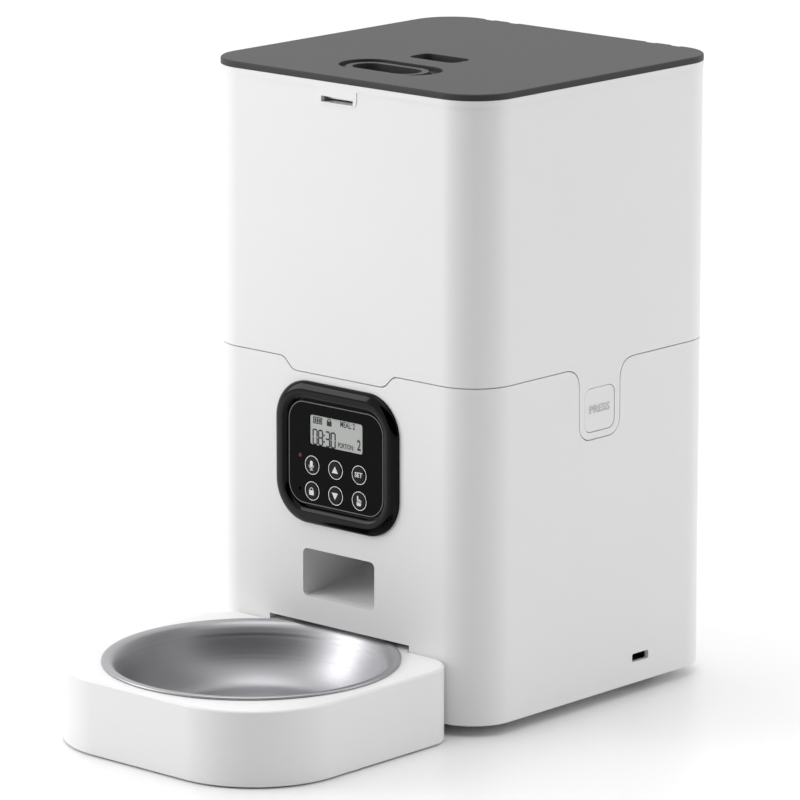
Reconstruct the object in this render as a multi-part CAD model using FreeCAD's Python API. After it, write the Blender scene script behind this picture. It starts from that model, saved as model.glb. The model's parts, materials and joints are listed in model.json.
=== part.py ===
"""Automatic pet feeder: hopper with hinged lid, motor base, control panel and bowl tray.

Sizes are millimetres. Pieces are drawn about the vertical axis of the square body, with
the front towards -Y and Z = 0 at STAND above the floor. put() moves each piece by SHIFT_Y and
STAND, so that the origin is on the floor at the middle of the whole footprint.
"""
import FreeCAD
import Part
import math
import os

V = FreeCAD.Vector

# Body
BODY_SIDE = 187.2
BODY_CORNER = 24.0
TOTAL_HEIGHT = 325.0
STAND = 5.0
WALL = 2.5
FOOT = 1.0
SEAM_Z = 173.5
SEAM_GAP = 0.5
FIT = 0.3
RUN = 0.05

# Lid
LID_PLATE = 3.3
LID_OVERHANG = 0.3
LID_EDGE = 0.9
LINER_DEPTH = 12.7
LINER_CLEAR = 1.0
LINER_WALL = 2.0
HINGE_X = 55.0
HINGE_BACK = 3.3
HINGE_DROP = 0.7
KNUCKLE_R = 2.6
KNUCKLE_LONG = 10.0
EAR_LONG = 6.0
HINGE_PIN_R = 1.25

# Lid latch
RECESS_W = 60.0
RECESS_D = 29.8
RECESS_DEEP = 2.5
RECESS_Y = -54.3
SLIDER_W = 48.0
SLIDER_D = 24.0
SLIDER_Y = -57.0
LATCH_STOP = -39.6
LATCH_TRAVEL = 5.0
NECK_STEP = 2.0
TONGUE_W = 20.0
TONGUE_T = 1.6
TONGUE_DROP = 12.9
SLOT_W = 21.4
SLOT_H = 3.0
SLOT_Z = 306.4

# Rear lid pocket and desiccant holder
POCKET_W = 31.0
POCKET_D = 15.4
POCKET_Y = -17.4
DESICCANT_R = 30.0
DESICCANT_Y = 34.0
DESICCANT_DEEP = 13.0

# Seam details
DIP_TOP = 40.0
DIP_LOW = 28.0
DIP_DEEP = 6.5
TAB_Y = -1.1
TAB_W = 31.0
TAB_Z = 135.3
TAB_CORNER = 8.0
TAB_FLARE = 11.0
PAD_W = 23.0
PAD_Z = 139.0
PAD_H = 22.3
PAD_CORNER = 4.5
PAD_FLANGE = 1.5
PRESS_TRAVEL = 2.5

# Control panel
PANEL_W = 83.3
PANEL_ROOM = 4.35
PANEL_H = 73.6
PANEL_CORNER = 21.0
PANEL_Z = 125.9
PANEL_PROUD = 3.4
PANEL_DRAFT = 4.0
FACE_W = 65.7
FACE_H = 54.0
FACE_CORNER = 11.0
FACE_SUNK = 1.6
FACE_T = 1.8
LCD_W = 36.2
LCD_H = 15.7
LCD_Z = 138.3
BUTTON_R = 4.3
BUTTON_X = (-16.1, 0.0, 16.1)
BUTTON_Z = (120.0, 106.6)
BUTTON_NAMES = (("record", "up", "set"), ("lock", "down", "feed"))
BUTTON_TRAVEL = 0.8
LED_X = -24.7
LED_Z = 124.0
BOARD_W = 70.0
BOARD_H = 58.0
BOARD_T = 1.6
BOARD_BACK = 9.2

# Food path
OUTLET_W = 49.0
OUTLET_Z = 50.4
OUTLET_H = 25.2
CHUTE_WALL = 2.2
DECK_Z = 123.5
DECK_T = 2.5
ROTOR_Y = 5.0
WELL_R = 46.0
WELL_FLOOR = 92.0
DROP_W = 44.0
DROP_BACK = -12.0
DROP_FRONT = -34.0
ROTOR_R = 45.0
HUB_R = 9.0
VANES = 6
VANE_T = 3.0
FUNNEL_TOP = 200.0
FUNNEL_SIDE = 172.0
THROAT = 80.0
THROAT_CORNER = 30.0

# Drive
SHAFT_R = 4.0
MODULE = 1.0
PRESSURE = math.radians(25.0)
BACKLASH = 0.16
OUTPUT_TEETH = 44
PINION_TEETH = 12
IDLER_TEETH = 40
GEAR_LONG = 6.0
GEARS_HIGH = 56.0
GEARS_LOW = 48.0
CASE_LOW = 44.0
CASE_TOP = 66.0
CASE_W = 56.0
EAR_X = 33.0
EAR_Y = (0.0, 50.0)
MOTOR_R = 14.0
MOTOR_LOW = 12.0
MOTOR_SHAFT_R = 1.5
IDLER_PIN_R = 2.0

# Battery bay
CELL_R = 13.1
CELL_LONG = 50.0
CELLS = 3
CELL_X = -60.0
CELL_Y = -5.0
CELL_Z = 18.5

# Power socket
SOCKET_Y = 32.75
SOCKET_W = 12.9
SOCKET_Z = 12.0
SOCKET_H = 4.5

# Tray and bowl
TRAY_W = 164.0
TRAY_REACH = 144.4
TRAY_TOP = 34.0
TRAY_CORNER = 50.0
TRAY_REAR_CORNER = 18.0
TRAY_WALL = 2.5
NOTCH_W = 96.0
NOTCH_H = 37.0
DOCK_DEEP = 17.0
BOWL_R = 75.0
BOWL_OUT = 64.0
BOWL_FLOOR = 3.5
BOWL_T = 0.8
WELL_GAP = 1.6

# Press latches inside the hopper's skirt
POCKET_X = 74.0
SKIRT_LOW = 165.5
SHELF_T = 3.0
POCKET_WALL = 1.2
CATCH_X = 86.3
CATCH_Z = 131.6
HOOK_REACH = 1.5

# Worked out from the sizes above
HALF = BODY_SIDE / 2
LID_TOP = TOTAL_HEIGHT - STAND
TRAY_LOW = FOOT - STAND
TRAY_FRONT = -HALF - TRAY_REACH
BOWL_Y = -HALF - BOWL_OUT
TONGUE_Z = LID_TOP - TONGUE_DROP
INNER = BODY_SIDE - 2 * WALL
INNER_CORNER = BODY_CORNER - WALL
LID_LOW = LID_TOP - LID_PLATE
LINER_LOW = LID_LOW - LINER_DEPTH
LINER_SIDE = INNER - 2 * LINER_CLEAR
SEAL_Z = LID_LOW - 5.6
SEAL_H = 2.4
LINER_CORNER = INNER_CORNER - LINER_CLEAR
HINGE_Y = HALF + HINGE_BACK
HINGE_Z = LID_LOW - HINGE_DROP
WELL_TOP = DECK_Z + DECK_T
IDLER_Y = ROTOR_Y + MODULE * (OUTPUT_TEETH + PINION_TEETH) / 2
MOTOR_Y = IDLER_Y + MODULE * (IDLER_TEETH + PINION_TEETH) / 2
PANEL_BACK = -HALF + 5.6
FACE_FRONT = -HALF - PANEL_PROUD + FACE_SUNK
BOARD_Y = -HALF + BOARD_BACK
SHIFT_Y = -(TRAY_FRONT + HINGE_Y + KNUCKLE_R) / 2


def box(x0, x1, y0, y1, z0, z1):
    """Block between two corners."""
    return Part.makeBox(x1 - x0, y1 - y0, z1 - z0, V(x0, y0, z0))


def rod(radius, z0, z1, x=0.0, y=0.0):
    """Upright cylinder."""
    return Part.makeCylinder(radius, z1 - z0, V(x, y, z0))


def rod_x(radius, x0, x1, y, z):
    """Cylinder along X."""
    return Part.makeCylinder(radius, x1 - x0, V(x0, y, z), V(1, 0, 0))


def rod_y(radius, y0, y1, x, z):
    """Cylinder along Y."""
    return Part.makeCylinder(radius, y1 - y0, V(x, y0, z), V(0, 1, 0))


def outline(width, depth, corner, z=0.0, x=0.0, y=0.0):
    """Closed rounded rectangle in a level plane, as four lines and four arcs."""
    a = width / 2 - corner
    b = depth / 2 - corner
    edges = []
    for quarter, (cx, cy) in enumerate(((a, b), (-a, b), (-a, -b), (a, -b))):
        start = quarter * 90.0
        centre = V(x + cx, y + cy, z)
        arc = Part.makeCircle(corner, centre, V(0, 0, 1), start, start + 90.0)
        if edges:
            edges.append(Part.makeLine(edges[-1].Vertexes[-1].Point, arc.Vertexes[0].Point))
        edges.append(arc)
    edges.append(Part.makeLine(edges[-1].Vertexes[-1].Point, edges[0].Vertexes[0].Point))
    return Part.Wire(edges)


def slab(width, depth, corner, z0, z1, x=0.0, y=0.0):
    """Upright prism on a rounded rectangle."""
    face = Part.Face(outline(width, depth, corner, z0, x, y))
    return face.extrude(V(0, 0, z1 - z0))


def ring(side, corner, wall, z0, z1):
    """Upright square tube with rounded corners."""
    hole = slab(side - 2 * wall, side - 2 * wall, corner - wall, z0 - 1, z1 + 1)
    return slab(side, side, corner, z0, z1).cut(hole)


def to_front(shape, y, z):
    """Stand a level shape up to face -Y: its +Y becomes up and its +Z becomes -Y."""
    turned = shape.copy()
    turned.rotate(V(0, 0, 0), V(1, 0, 0), 90)
    turned.translate(V(0, y, z))
    return turned


def front_slab(width, height, corner, y_out, y_in, z, x=0.0):
    """Upright plate that faces -Y, with rounded corners."""
    return to_front(slab(width, height, corner, 0, y_in - y_out, x), y_in, z)


def side_slab(width, height, corner, x0, x1, y, z):
    """Plate that faces +X, with rounded corners; y and z are its middle."""
    plate = slab(height, width, corner, x0, x1)
    plate.rotate(V(0, 0, 0), V(0, 1, 0), 90)
    low = plate.BoundBox
    plate.translate(V(x0 - low.XMin, y - (low.YMin + low.YMax) / 2, z - (low.ZMin + low.ZMax) / 2))
    return plate


def prism_x(points, x0, x1):
    """Prism along X on a polygon of (y, z) points."""
    wire = Part.makePolygon([V(x0, y, z) for y, z in points + points[:1]])
    return Part.Face(wire).extrude(V(x1 - x0, 0, 0))


def both_sides(shape):
    """The shape and its mirror image across the middle plane."""
    return [shape, shape.mirror(V(0, 0, 0), V(1, 0, 0))]


def soften(shape, radius, wanted):
    """Round the edges that the test picks."""
    picked = [edge for edge in shape.Edges if wanted(edge)]
    return shape.makeFillet(radius, picked) if picked else shape


def upright(edge):
    """True for a straight vertical edge."""
    box_ = edge.BoundBox
    return box_.XLength < 0.01 and box_.YLength < 0.01


def joined(first, others):
    """One solid from several that touch."""
    return first.fuse(others).removeSplitter()


def put(name, shape):
    """Write one piece in the object's own frame."""
    placed = shape.copy()
    placed.translate(V(0, SHIFT_Y, STAND))
    solids = placed.Solids
    out = solids[0] if len(solids) == 1 else Part.makeCompound(solids)
    out.exportStep("parts/" + name + ".step")
    print(name, len(solids), out.isValid(), round(out.Volume))


# ---------------------------------------------------------------- hopper and base shells
def flared(half_top, half_low, top, low, s_shaped):
    """Upright face, even about X = 0, whose sides curve in from one half width to another."""
    mid = (half_top + half_low) / 2
    sides = []
    for sign in (-1, 1):
        poles = [V(sign * half_top, 0, top)]
        poles += [V(sign * mid, 0, top), V(sign * mid, 0, low)] if s_shaped else [V(sign * half_low, 0, top)]
        poles.append(V(sign * half_low, 0, low))
        curve = Part.BezierCurve()
        curve.setPoles(poles)
        sides.append(curve.toShape())
    lid = top + 10
    bottom = Part.makeLine(V(-half_low, 0, low), V(half_low, 0, low))
    upper = Part.makePolygon([V(half_top, 0, top), V(half_top, 0, lid), V(-half_top, 0, lid),
                              V(-half_top, 0, top)])
    return Part.Face(Part.Wire(Part.__sortEdges__(sides + [bottom] + upper.Edges)))


def seam_tabs(gap):
    """Prisms of the two side tabs and the front dip, each made larger by gap."""
    tab_h = SEAM_Z - TAB_Z + 20.0
    tab = side_slab(TAB_W + 2 * gap, tab_h + 2 * gap, TAB_CORNER + gap, 60.0, HALF + 5,
                    TAB_Y, TAB_Z + tab_h / 2)
    half = TAB_W / 2 + gap
    flare = flared(half + TAB_FLARE, half, SEAM_Z - gap, SEAM_Z - gap - TAB_FLARE, False)
    flare.rotate(V(0, 0, 0), V(0, 0, 1), 90)
    flare.translate(V(60.0, TAB_Y, 0))
    tab = tab.fuse(flare.extrude(V(HALF - 55.0, 0, 0))).common(box(60, HALF + 5, -60, 60, 0, SEAM_Z))
    dip = flared(DIP_TOP + gap, DIP_LOW + gap, SEAM_Z - gap, SEAM_Z - DIP_DEEP - gap, True)
    dip.translate(V(0, -HALF - 5, 0))
    dip = dip.extrude(V(0, 40, 0)).common(box(-HALF, HALF, -HALF - 5, 0, 0, SEAM_Z))
    return both_sides(tab) + [dip]


def pad_prism(x0, x1, grow):
    """Right-hand press pad outline between two distances from the middle plane."""
    return side_slab(PAD_W + 2 * grow, PAD_H + 2 * grow, PAD_CORNER + grow, x0, x1,
                     TAB_Y, PAD_Z + PAD_H / 2)


def base_housing():
    """Lower shell with the openings for panel, outlet, tray, socket and speaker."""
    shell = ring(BODY_SIDE, BODY_CORNER, WALL, FOOT, SEAM_Z - SEAM_GAP)
    shelf = ring(INNER, INNER_CORNER, 5.0, SKIRT_LOW - SHELF_T, SKIRT_LOW)
    dock = box(-NOTCH_W / 2 - 2.5, NOTCH_W / 2 + 2.5, -HALF + 1, -HALF + DOCK_DEEP + 2.5,
               FOOT, NOTCH_H + 2.5)
    posts = [slab(16, 16, 4, FOOT + 3, DECK_Z, sx * 78, sy * 78) for sx in (-1, 1) for sy in (-1, 1)]
    inside = slab(INNER + 1, INNER + 1, INNER_CORNER, 0, SEAM_Z)
    posts = [post.common(inside) for post in posts]
    speaker_ring = rod_x(18.5, -HALF + 1, -HALF + 8, 40, 60)
    catches = both_sides(box(CATCH_X, HALF - 1, TAB_Y - 6, TAB_Y + 6, CATCH_Z, CATCH_Z + 3))
    shell = joined(shell, [shelf, dock, speaker_ring] + posts + catches)
    cuts = seam_tabs(SEAM_GAP)
    cuts.append(box(-NOTCH_W / 2, NOTCH_W / 2, -HALF - 1, -HALF + DOCK_DEEP, FOOT - 1, NOTCH_H))
    cuts.append(front_slab(PANEL_W - 5, PANEL_H - 5, PANEL_CORNER - 2.5, -HALF - 1, -HALF + 4, PANEL_Z))
    outlet = front_slab(OUTLET_W, OUTLET_H, 3.0, -HALF - 1, -HALF + 4, OUTLET_Z + OUTLET_H / 2)
    cuts.append(outlet)
    cuts.append(side_slab(SOCKET_W, SOCKET_H, 1.0, HALF - 5, HALF + 1, SOCKET_Y, SOCKET_Z + SOCKET_H / 2))
    cuts.append(rod_x(16.3, -HALF + WALL, -HALF + 12, 40, 60))
    cuts += [side_slab(22 - abs(k) * 4, 2, 0.9, -HALF - 1, -HALF + 4, 40, 60 + 5 * k)
             for k in (-2, -1, 0, 1, 2)]
    cuts += both_sides(box(POCKET_X - 1, HALF - WALL + 0.01, TAB_Y - 18, TAB_Y + 18, 150, SKIRT_LOW + 1))
    for sx in (-1, 1):
        for sy in (-1, 1):
            cuts.append(rod(1.6, 0, 20, sx * 76, sy * 76))
            cuts.append(rod(1.6, DECK_Z - 12, DECK_Z + 1, sx * 76, sy * 76))
    put("base_housing", shell.cut(cuts))


def hopper_shell():
    """Upper shell with rim band, seam tabs, skirt, latch pockets and hinge ears."""
    shell = ring(BODY_SIDE, BODY_CORNER, WALL, SEAM_Z, LID_LOW)
    band = ring(BODY_SIDE + 0.7, BODY_CORNER + 0.35, 2.0, LID_LOW - LID_PLATE, LID_LOW)
    flange = front_slab(26.0, 11.2, 3.0, -HALF - 0.35, -HALF + 1, LID_LOW - 5.6)
    wall = ring(BODY_SIDE, BODY_CORNER, WALL, TAB_Z - 2, SEAM_Z)
    tabs = [wall.common(prism) for prism in seam_tabs(0.0)]
    step = ring(INNER + 1, INNER_CORNER + 0.5, 3.0, SEAM_Z, SEAM_Z + 3)
    skirt = ring(INNER - 2 * FIT, INNER_CORNER - FIT, 2.0, SKIRT_LOW, SEAM_Z + 3)
    ledge = ring(INNER + 1, INNER_CORNER + 0.5, 2.5, FUNNEL_TOP - 3, FUNNEL_TOP)
    solids = [band, flange, step, skirt, ledge] + tabs
    low = TAB_Y - TAB_W / 2 + 1
    high = TAB_Y + TAB_W / 2 - 1
    pocket = box(POCKET_X, HALF - WALL, low, high, TAB_Z + 1, SEAM_Z + 3)
    solids += both_sides(pocket)
    for side in (-1, 1):
        for end in (-1, 1):
            x = side * HINGE_X + end * (KNUCKLE_LONG / 2 + FIT + EAR_LONG / 2)
            ear = rod_x(KNUCKLE_R, x - EAR_LONG / 2, x + EAR_LONG / 2, HINGE_Y, HINGE_Z)
            web = prism_x([(HALF - 1, HINGE_Z - 10), (HALF + 0.3, HINGE_Z - 10),
                           (HINGE_Y + KNUCKLE_R - 0.1, HINGE_Z - 0.5), (HALF - 1, HINGE_Z - 0.5)],
                          x - EAR_LONG / 2, x + EAR_LONG / 2)
            solids += [ear, web]
    shell = joined(shell, solids)
    hollow = box(POCKET_X + 2, HALF - WALL, low + POCKET_WALL, high - POCKET_WALL, TAB_Z - 1, SEAM_Z + 1)
    cuts = both_sides(hollow) + both_sides(pad_prism(HALF - WALL - 1, HALF + 1, FIT))
    cuts.append(box(-SLOT_W / 2, SLOT_W / 2, -HALF - 1, -HALF + 3, SLOT_Z, SLOT_Z + SLOT_H))
    cuts += [rod_x(HINGE_PIN_R + RUN, side * HINGE_X - 15, side * HINGE_X + 15, HINGE_Y, HINGE_Z)
             for side in (-1, 1)]
    put("hopper_shell", shell.cut(cuts))


def hopper_funnel():
    """Sloping liner that leads the food to the throat over the rotor."""
    def tube(grow, z_top, z_low):
        upper = outline(FUNNEL_SIDE + 2 * grow, FUNNEL_SIDE + 2 * grow, 18 + grow, z_top)
        lower = outline(THROAT + 2 * grow, THROAT + 2 * grow, THROAT_CORNER + grow, z_low)
        return Part.makeLoft([upper, lower], True, True)
    low = WELL_TOP + 5
    flange = slab(INNER - FIT, INNER - FIT, INNER_CORNER - FIT / 2, FUNNEL_TOP, FUNNEL_TOP + 2)
    throat = slab(THROAT + 4, THROAT + 4, THROAT_CORNER + 2, WELL_TOP + 0.5, low)
    outer = joined(tube(2.0, FUNNEL_TOP, low), [flange, throat])
    hole = slab(THROAT, THROAT, THROAT_CORNER, WELL_TOP, low)
    mouth = slab(FUNNEL_SIDE, FUNNEL_SIDE, 18, FUNNEL_TOP, FUNNEL_TOP + 3)
    put("hopper_funnel", outer.cut([tube(0.0, FUNNEL_TOP, low), hole, mouth]))


def hinge_pins():
    """Steel pins through the lid knuckles and the hopper ears."""
    half = KNUCKLE_LONG / 2 + EAR_LONG
    put("hinge_pins", Part.makeCompound(
        [rod_x(HINGE_PIN_R, side * HINGE_X - half, side * HINGE_X + half, HINGE_Y, HINGE_Z)
         for side in (-1, 1)]))


def coil(radius, wire, turns, length):
    """Helical spring along +Z from the origin."""
    pitch = (length - wire) / turns
    helix = Part.makeHelix(pitch, length - wire, radius)
    circle = Part.Wire(Part.makeCircle(wire / 2, V(radius, 0, 0), V(0, 1, 0)))
    spring = Part.Wire(helix.Edges).makePipeShell([circle], True, True)
    spring.translate(V(0, 0, wire / 2))
    return spring


def press_latch(side, name):
    """Side release: a pad in the tab window, with a spring behind and a short hook."""
    pad = pad_prism(HALF - WALL, HALF - 0.2, 0.0)
    flange = pad_prism(HALF - WALL - 2 - FIT, HALF - WALL - FIT, PAD_FLANGE)
    neck = pad_prism(HALF - WALL - 1, HALF - WALL + 0.5, 0.0)
    inner_face = HALF - WALL - 2 - FIT
    arm_x = CATCH_X - FIT - HOOK_REACH - 2
    link = box(arm_x, inner_face, TAB_Y - 5, TAB_Y + 5, PAD_Z, PAD_Z + 3)
    arm = box(arm_x, arm_x + 2, TAB_Y - 5, TAB_Y + 5, CATCH_Z - 3.4, PAD_Z + 3)
    nose = box(arm_x, CATCH_X - FIT, TAB_Y - 5, TAB_Y + 5, CATCH_Z - 3.4, CATCH_Z - 0.4)
    seat = rod_x(2.2, inner_face - 3, inner_face, TAB_Y, PAD_Z + 14)
    latch = joined(pad, [neck, flange, link, arm, nose, seat])
    spring = coil(3.4, 0.7, 5, inner_face - POCKET_X - 2)
    spring.rotate(V(0, 0, 0), V(0, 1, 0), 90)
    spring.translate(V(POCKET_X + 2, TAB_Y, PAD_Z + 14))
    if side < 0:
        latch = latch.mirror(V(0, 0, 0), V(1, 0, 0))
        spring = spring.mirror(V(0, 0, 0), V(1, 0, 0))
    put("press_latch_" + name, latch)
    put("press_spring_" + name, spring)


# ---------------------------------------------------------------- lid
def lid_cover():
    """Dark top plate with latch recess, rear pocket, screw bosses and hinge knuckles."""
    side = BODY_SIDE + 2 * LID_OVERHANG
    plate = slab(side, side, BODY_CORNER + LID_OVERHANG, LID_LOW, LID_TOP)
    plate = soften(plate, LID_EDGE, lambda e: e.BoundBox.ZMin > LID_TOP - 0.01)
    boss = slab(RECESS_W + 5, RECESS_D + 5, RECESS_D / 2 + 2.4, LID_LOW - 2.0, LID_LOW + 1, 0, RECESS_Y)
    pocket = slab(POCKET_W + 3, POCKET_D + 3, 6, LID_LOW - 7, LID_LOW + 1, 0, POCKET_Y)
    bosses = [rod(3.6, LINER_LOW + 2, LID_LOW + 1, sx * 78, sy * 78) for sx in (-1, 1) for sy in (-1, 1)]
    notches = []
    knuckles = []
    for sx in (-1, 1):
        x0 = sx * HINGE_X - KNUCKLE_LONG / 2
        x1 = x0 + KNUCKLE_LONG
        knuckles.append(rod_x(KNUCKLE_R, x0, x1, HINGE_Y, HINGE_Z))
        knuckles.append(box(x0, x1, HALF - 2, HINGE_Y, LID_LOW, HINGE_Z + KNUCKLE_R))
        for end in (-1, 1):
            middle = sx * HINGE_X + end * (KNUCKLE_LONG / 2 + FIT + EAR_LONG / 2)
            reach = EAR_LONG / 2 + FIT
            notches.append(box(middle - reach, middle + reach, HALF - 1.6, HALF + 2, LID_LOW - 1,
                               LID_TOP + 1))
    plate = plate.cut(notches)
    plate = joined(plate, [boss, pocket] + bosses + knuckles)
    cuts = [slab(RECESS_W, RECESS_D, RECESS_D / 2 - 0.1, LID_TOP - RECESS_DEEP, LID_TOP + 1, 0,
                 RECESS_Y)]
    neck_w = SLIDER_W - 2 * NECK_STEP
    neck_d = SLIDER_D - 2 * NECK_STEP
    cuts.append(slab(neck_w + 2 * FIT, neck_d + LATCH_TRAVEL + 2 * FIT, neck_d / 2, LID_LOW - 6,
                     LID_TOP, 0, SLIDER_Y + LATCH_TRAVEL / 2))
    cuts.append(slab(POCKET_W, POCKET_D, 4.5, LID_LOW - 5.5, LID_TOP + 1, 0, POCKET_Y))
    cuts += [rod(1.5, LINER_LOW, LID_LOW - 1, sx * 78, sy * 78) for sx in (-1, 1) for sy in (-1, 1)]
    cuts += [rod_x(HINGE_PIN_R + RUN, sx * HINGE_X - 12, sx * HINGE_X + 12, HINGE_Y, HINGE_Z)
             for sx in (-1, 1)]
    put("lid_cover", plate.cut(cuts))


def lid_liner():
    """Shallow pan under the cover that drops into the hopper mouth."""
    pan = slab(LINER_SIDE, LINER_SIDE, LINER_CORNER, LINER_LOW, LID_LOW)
    inside = LINER_SIDE - 2 * LINER_WALL
    cuts = [slab(inside, inside, LINER_CORNER - LINER_WALL, LINER_LOW + 2, LID_LOW + 1)]
    cuts.append(ring(LINER_SIDE + 2, LINER_CORNER + 1, 2.0, SEAL_Z, SEAL_Z + SEAL_H))
    cuts.append(box(-TONGUE_W / 2 - FIT, TONGUE_W / 2 + FIT, -HALF, -HALF + 12, TONGUE_Z - FIT,
                    TONGUE_Z + TONGUE_T + FIT))
    cuts += [rod(1.7, LINER_LOW - 1, LINER_LOW + 3, sx * 78, sy * 78) for sx in (-1, 1) for sy in (-1, 1)]
    guides = both_sides(box(TONGUE_W / 2 + FIT, TONGUE_W / 2 + 3, -HALF + 6, -HALF + 22, LINER_LOW + 1,
                            LINER_LOW + 7))
    stop = box(-6, 6, LATCH_STOP, LATCH_STOP + 2.2, LINER_LOW + 1, LINER_LOW + 9.5)
    put("lid_liner", joined(pan.cut(cuts), guides + [stop]))


def lid_seal():
    """Silicone ring in the liner's groove."""
    put("lid_seal", ring(LINER_SIDE + 1.0, LINER_CORNER + 0.5, 1.5, SEAL_Z, SEAL_Z + SEAL_H))


def lid_screws():
    """Four screws that hold the liner to the cover."""
    screws = []
    for sx in (-1, 1):
        for sy in (-1, 1):
            shank = rod(1.48, LINER_LOW, LID_LOW - 3, sx * 78, sy * 78)
            screws.append(shank.fuse(rod(3.0, LINER_LOW - 1.8, LINER_LOW, sx * 78, sy * 78)))
    put("lid_screws", Part.makeCompound(screws))


def latch():
    """Finger slider with its steel tongue and return spring."""
    floor = LID_TOP - RECESS_DEEP
    rim = slab(SLIDER_W, SLIDER_D, SLIDER_D / 2 - 0.1, floor + 0.1, LID_TOP - 0.4, 0, SLIDER_Y)
    neck_w = SLIDER_W - 2 * NECK_STEP
    neck_d = SLIDER_D - 2 * NECK_STEP
    low = TONGUE_Z + TONGUE_T
    neck = slab(neck_w, neck_d, neck_d / 2 - 0.1, low, floor + 1, 0, SLIDER_Y)
    cup = slab(neck_w - 3, neck_d - 3, neck_d / 2 - 1.6, low + 1.5, LID_TOP, 0, SLIDER_Y)
    peg_y = SLIDER_Y + neck_d / 2
    peg = rod_y(1.4, peg_y - 1.6, peg_y + 2.0, 0, low + 1.7)
    put("latch_slider", joined(rim, [neck, peg]).cut(cup))
    tongue = box(-TONGUE_W / 2, TONGUE_W / 2, -HALF + WALL + 0.8, SLIDER_Y + neck_d / 2 - 1, TONGUE_Z, low)
    tip = prism_x([(-HALF + WALL + 0.7, TONGUE_Z - 1), (-HALF + WALL + 4, TONGUE_Z - 1),
                   (-HALF + WALL + 4, TONGUE_Z), (-HALF + WALL + 0.7, TONGUE_Z + 0.8)], -20, 20)
    put("latch_tongue", tongue.cut(tip))
    spring = coil(2.1, 0.5, 5, LATCH_STOP - peg_y)
    spring.rotate(V(0, 0, 0), V(1, 0, 0), -90)
    spring.translate(V(0, peg_y, low + 1.7))
    put("latch_spring", spring)


def desiccant():
    """Round holder under the liner and its twist-off vented cap."""
    low = LINER_LOW - DESICCANT_DEEP
    holder = rod(DESICCANT_R, low, LINER_LOW, 0, DESICCANT_Y)
    holder = holder.cut(rod(DESICCANT_R - 2, low - 1, LINER_LOW - 2, 0, DESICCANT_Y))
    put("desiccant_holder", holder)
    cap = rod(DESICCANT_R + 2.5, low - 3, low - 1, 0, DESICCANT_Y)
    rim = rod(DESICCANT_R + 2.5, low - 2, low + 4, 0, DESICCANT_Y)
    rim = rim.cut(rod(DESICCANT_R + 0.4, low - 3, low + 5, 0, DESICCANT_Y))
    cap = joined(cap, [rim])
    slots = []
    for turn in range(12):
        slot = box(-1.5, 1.5, 10, 25, low - 4, low)
        slot.rotate(V(0, 0, 0), V(0, 0, 1), turn * 30)
        slot.translate(V(0, DESICCANT_Y, 0))
        slots.append(slot)
    put("desiccant_cap", cap.cut(slots))
    put("desiccant_bag", rod(DESICCANT_R - 3, low + 0.3, LINER_LOW - 2.5, 0, DESICCANT_Y))


# ---------------------------------------------------------------- base inside
def base_plate():
    """Floor of the base, with the battery opening."""
    plate = slab(INNER - FIT, INNER - FIT, INNER_CORNER - FIT / 2, FOOT, FOOT + 2.5)
    wide = NOTCH_W / 2 + 2.5 + FIT
    cuts = [box(-wide, wide, -HALF, -HALF + DOCK_DEEP + 2.5 + FIT, 0, 5)]
    half_l = CELL_LONG / 2 + 2
    cuts.append(box(CELL_X - half_l, CELL_X + half_l, CELL_Y - 41, CELL_Y + 41, 0, 5))
    cuts += [rod(1.7, 0, 5, sx * 76, sy * 76) for sx in (-1, 1) for sy in (-1, 1)]
    cuts += [rod(2.8, 0, FOOT + 1.3, sx * 76, sy * 76) for sx in (-1, 1) for sy in (-1, 1)]
    cuts += [rod(8.2, 0, FOOT + 1, sx * 70, sy * 58) for sx in (-1, 1) for sy in (-1, 1)]
    put("base_plate", plate.cut(cuts))
    feet = [rod(8.0, -STAND, FOOT + 1, sx * 70, sy * 58) for sx in (-1, 1) for sy in (-1, 1)]
    put("rubber_feet", Part.makeCompound(feet))


def screw(x, y, head_z, tip_z, shank, head, head_tall):
    """Upright screw: a head on the far side of head_z from its tip."""
    if tip_z > head_z:
        return rod(shank, head_z, tip_z, x, y).fuse(rod(head, head_z - head_tall, head_z, x, y))
    return rod(shank, tip_z, head_z, x, y).fuse(rod(head, head_z, head_z + head_tall, x, y))


def housing_screws():
    """Screws of the base plate, the deck and the gearbox."""
    corners = [(sx * 76, sy * 76) for sx in (-1, 1) for sy in (-1, 1)]
    ears = [(sx * EAR_X, y) for sx in (-1, 1) for y in EAR_Y]
    screws = [screw(x, y, FOOT + 2.5 - 1.2, FOOT + 15, 1.5, 2.6, 0.9) for x, y in corners]
    screws += [screw(x, y, WELL_TOP, DECK_Z - 9, 1.55, 2.9, 1.6) for x, y in corners]
    screws += [screw(x, y, CASE_TOP - 4, CASE_TOP + 12, 1.45, 2.8, 0.9) for x, y in ears]
    put("housing_screws", Part.makeCompound(screws))


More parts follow.
